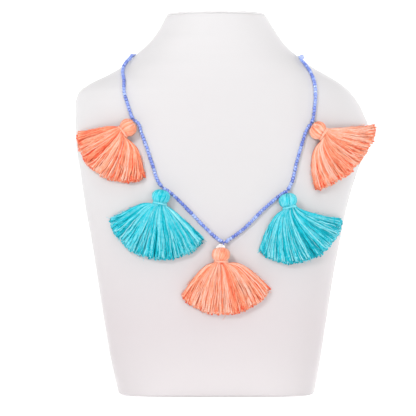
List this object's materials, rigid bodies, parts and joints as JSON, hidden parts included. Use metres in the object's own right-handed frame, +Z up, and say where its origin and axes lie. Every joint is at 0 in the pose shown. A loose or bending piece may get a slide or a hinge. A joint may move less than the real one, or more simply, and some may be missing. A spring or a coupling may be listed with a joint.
{
  "type": "tassel necklace on a neck bust",
  "caption": "Collar-length string of fine glossy beads with fanned thread tassels in coral and turquoise, worn on a plain white neck bust that stands on its foot.",
  "frame": {"origin": "middle of the bust's foot, on its underside", "axes": "+Z up the bust, the front with the tassels looks towards -Y, and +X is to the right as the front is seen"},
  "size_m": [0.1722, 0.0873, 0.216],
  "materials": {
    "bust": "matt white coated form",
    "bust_cap": "matt white",
    "beads": "opaque, glossy",
    "clasp_metal": "polished silver plate",
    "coral_thread": "twisted cotton thread",
    "turquoise_thread": "twisted cotton thread",
    "coral_binding": "wound cotton thread",
    "turquoise_binding": "wound cotton thread"
  },
  "bodies": {
    "root": {"neck_bust": "bust", "neck_cap": "bust_cap", "bead_string": "beads", "clasp": "clasp_metal", "tassel_coral_left": "coral_thread", "tassel_turquoise_left": "turquoise_thread", "tassel_coral_centre": "coral_thread", "tassel_turquoise_right": "turquoise_thread", "tassel_coral_right": "coral_thread", "binding_coral_left": "coral_binding", "binding_turquoise_left": "turquoise_binding", "binding_coral_centre": "coral_binding", "binding_turquoise_right": "turquoise_binding", "binding_coral_right": "coral_binding"}
  },
  "joints": []
}
